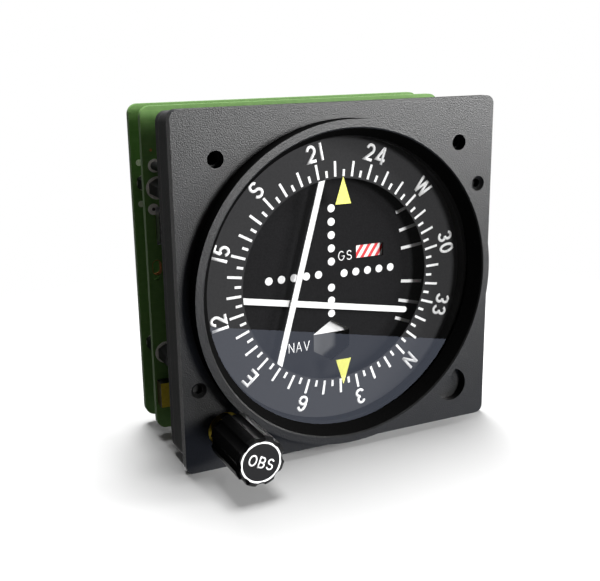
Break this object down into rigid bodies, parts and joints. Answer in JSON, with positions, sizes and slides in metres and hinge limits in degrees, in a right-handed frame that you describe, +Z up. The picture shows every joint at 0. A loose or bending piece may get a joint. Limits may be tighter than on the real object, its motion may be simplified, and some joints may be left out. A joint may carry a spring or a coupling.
{
  "type": "vor indicator",
  "caption": "Square panel instrument with a turning compass card under a round window, two crossed needles, warning flags, a fluted course knob and two circuit boards behind.",
  "frame": {"origin": "on the axis of the compass card, in the plane of the mounting plate's front face, which lies against the panel", "axes": "+X to the right seen from the front, +Y back into the panel, +Z up"},
  "size_m": [0.0826, 0.0645, 0.0825],
  "materials": {
    "plate_paint": "fine grained black paint on aluminium, half matt",
    "window_glass": "clear flat window with a faint blue-grey coating",
    "black_paint": "matt black paint",
    "mark_paint": "pale yellow paint",
    "card_print": "matt charcoal card with white numerals and ticks",
    "gear_plastic": "matt black moulded plastic",
    "housing_plastic": "matt black moulded plastic",
    "dial_paint": "matt black dial with white dots",
    "needle_paint": "matt white paint",
    "flag_paint": "red and white diagonal stripes",
    "steel": "turned steel",
    "knob_plastic": "matt black moulded plastic, white ring and legend",
    "brass": "turned brass",
    "board_laminate": "green solder mask over glass laminate",
    "black_steel": "black coated steel",
    "tin_can": "bright tinned steel",
    "relay_plastic": "amber yellow plastic with a black top",
    "chip_plastic": "matt black moulded plastic"
  },
  "bodies": {
    "housing": {"front_plate": "plate_paint", "bezel_ring": "plate_paint", "window_glass": "window_glass", "card_sleeve": "black_paint", "index_marks": "mark_paint", "card_frame": "housing_plastic", "movement_frame": "housing_plastic", "rear_cover": "housing_plastic", "inner_dial": "dial_paint", "course_movement": "gear_plastic", "glide_movement": "gear_plastic", "vane_movements": "gear_plastic", "shaft_bushing": "brass", "course_encoder": "knob_plastic", "front_board": "board_laminate", "rear_board": "board_laminate", "housing_standoffs": "black_steel", "board_standoffs": "black_steel", "board_screws": "steel", "spacer_pins": "black_steel", "crystal_can": "tin_can", "yellow_relay": "relay_plastic", "front_board_chips": "chip_plastic", "rear_board_chips": "chip_plastic", "header_socket": "chip_plastic", "header_strip": "chip_plastic", "rear_plug_body": "chip_plastic", "rear_plug_shell": "tin_can", "rear_plug_screws": "steel"},
    "compass": {"compass_card": "card_print", "card_gear": "gear_plastic"},
    "knob": {"course_knob": "knob_plastic", "knob_set_screw": "steel", "course_shaft": "steel", "course_pinion": "brass"},
    "course_pointer": {"course_needle": "needle_paint", "course_pivot_shaft": "steel"},
    "glide_pointer": {"glide_needle": "needle_paint", "glide_pivot_shaft": "steel"},
    "glide_warning": {"glide_flag": "flag_paint"},
    "signal_warning": {"signal_flag": "flag_paint"},
    "to_from_arrow": {"arrow_vane": "needle_paint"}
  },
  "joints": [
    {"name": "card_turn", "type": "hinge", "parent": "housing", "child": "compass", "pos_m": [0, 0.003, 0], "axis": [0, 1, 0], "continuous": true},
    {"name": "knob_turn", "type": "hinge", "parent": "housing", "child": "knob", "pos_m": [-0.03095, 0.004, -0.03095], "axis": [0, 1, 0], "continuous": true},
    {"name": "course_swing", "type": "hinge", "parent": "housing", "child": "course_pointer", "pos_m": [0, 0.005, 0.0372], "axis": [0, 1, 0], "range_deg": [-40.1, 9.9]},
    {"name": "glide_swing", "type": "hinge", "parent": "housing", "child": "glide_pointer", "pos_m": [-0.0372, 0.0054, 0], "axis": [0, 1, 0], "range_deg": [-25.3, 4.7]},
    {"name": "glide_flag_swing", "type": "hinge", "parent": "housing", "child": "glide_warning", "pos_m": [0.023, 0.008, 0.0056], "axis": [0, 1, 0], "range_deg": [0, 30]},
    {"name": "signal_flag_swing", "type": "hinge", "parent": "housing", "child": "signal_warning", "pos_m": [-0.0165, 0.008, -0.0161], "axis": [0, 1, 0], "range_deg": [-40, 0]},
    {"name": "arrow_swing", "type": "hinge", "parent": "housing", "child": "to_from_arrow", "pos_m": [0.0175, 0.0087, -0.016], "axis": [0, 1, 0], "range_deg": [-24, 0]}
  ],
  "couplings": [
    {"joint": "knob_turn", "follows": "card_turn", "ratio": -5.875}
  ]
}
